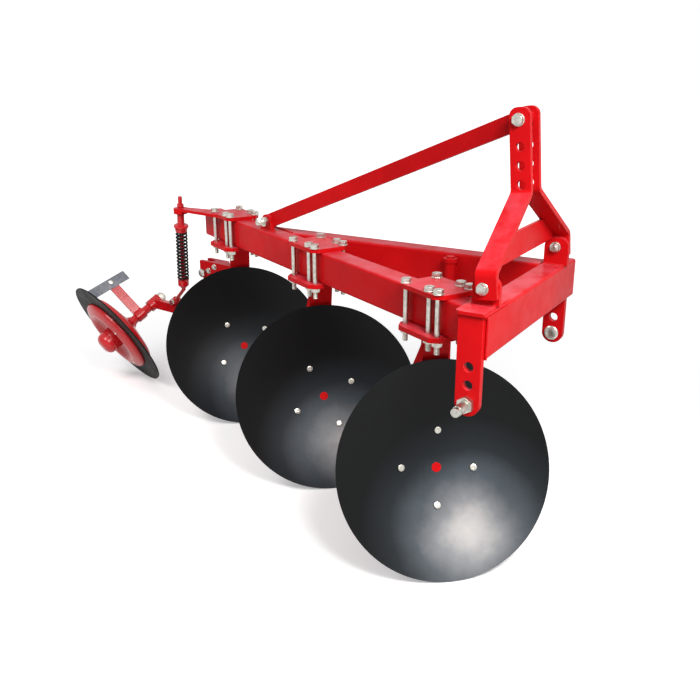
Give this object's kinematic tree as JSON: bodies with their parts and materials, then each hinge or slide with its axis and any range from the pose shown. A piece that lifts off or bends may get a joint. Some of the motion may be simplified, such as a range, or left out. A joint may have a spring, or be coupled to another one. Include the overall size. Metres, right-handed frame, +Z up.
{
  "type": "mounted disc plough",
  "caption": "Mounted one-way disc plough: slanted beam with dished discs on cast legs, braced three-point mast, parking stand and a sprung, leaning rear furrow wheel.",
  "frame": {"origin": "on the floor below the middle of the overall box, where the discs, the furrow wheel and the stand rest", "axes": "+X to the plough's right, +Y in the direction of travel (hitch end), +Z up"},
  "size_m": [1.0972, 2.4615, 1.3404],
  "materials": {
    "red_paint": "semi-gloss",
    "disc_steel": "satin",
    "zinc": "satin",
    "black_steel": "satin",
    "dark_paint": "satin",
    "bare_steel": "matt"
  },
  "bodies": {
    "frame": {"main_beam": "red_paint", "cross_beam": "red_paint", "brace_beam": "red_paint", "corner_plate": "red_paint", "hitch_bracket_right": "red_paint", "hitch_bracket_left": "red_paint", "hitch_pin_right": "zinc", "hitch_pin_left": "zinc", "mast_bar_right": "red_paint", "mast_bar_left": "red_paint", "mast_tie_bar": "red_paint", "mast_lug_right": "red_paint", "mast_lug_left": "red_paint", "mast_foot_bolts": "zinc", "mast_top_bolt": "zinc", "top_stay": "red_paint", "stay_lug": "red_paint", "stay_bolt": "zinc", "clamp_plate_1": "red_paint", "clamp_lower_plate_1": "red_paint", "clamp_bolts_1": "zinc", "clamp_plate_2": "red_paint", "clamp_lower_plate_2": "red_paint", "clamp_bolts_2": "zinc", "clamp_plate_3": "red_paint", "clamp_lower_plate_3": "red_paint", "clamp_bolts_3": "zinc", "disc_leg_1": "red_paint", "hub_cap_1": "red_paint", "disc_leg_2": "red_paint", "hub_cap_2": "red_paint", "disc_leg_3": "red_paint", "hub_cap_3": "red_paint", "stand_sleeve": "red_paint", "tail_axle": "zinc", "tail_arm": "red_paint", "tail_bracket": "red_paint", "tail_pivot_bolt": "zinc", "spring_rod": "red_paint", "spring_rod_pin": "zinc", "spring_upper_cup": "red_paint", "spring_lower_cup": "red_paint", "tail_spring": "black_steel", "scraper_bar": "red_paint", "scraper_blade": "bare_steel", "scraper_bolt": "zinc"},
    "disc_assembly_1": {"disc_1": "disc_steel", "disc_hub_1": "red_paint", "disc_bolts_1": "zinc"},
    "disc_assembly_2": {"disc_2": "disc_steel", "disc_hub_2": "red_paint", "disc_bolts_2": "zinc"},
    "disc_assembly_3": {"disc_3": "disc_steel", "disc_hub_3": "red_paint", "disc_bolts_3": "zinc"},
    "furrow_wheel": {"tail_wheel_disc": "dark_paint", "tail_wheel_hub": "dark_paint"},
    "stand": {"stand_leg": "red_paint"}
  },
  "joints": [
    {"name": "disc_1_spin", "type": "hinge", "parent": "frame", "child": "disc_assembly_1", "pos_m": [0.30923, 0.97472, 0.30862], "axis": [0.6883, 0.6307, 0.3584], "continuous": true},
    {"name": "disc_2_spin", "type": "hinge", "parent": "frame", "child": "disc_assembly_2", "pos_m": [0.00052, 0.36883, 0.30862], "axis": [0.6883, 0.6307, 0.3584], "continuous": true},
    {"name": "disc_3_spin", "type": "hinge", "parent": "frame", "child": "disc_assembly_3", "pos_m": [-0.3082, -0.23705, 0.30862], "axis": [0.6883, 0.6307, 0.3584], "continuous": true},
    {"name": "furrow_wheel_spin", "type": "hinge", "parent": "frame", "child": "furrow_wheel", "pos_m": [-0.2838, -0.96805, 0.23816], "axis": [0.8197, -0.2822, -0.4985], "continuous": true},
    {"name": "stand_slide", "type": "slide", "parent": "frame", "child": "stand", "axis": [0, 0, 1], "range_m": [0, 0.45]}
  ]
}
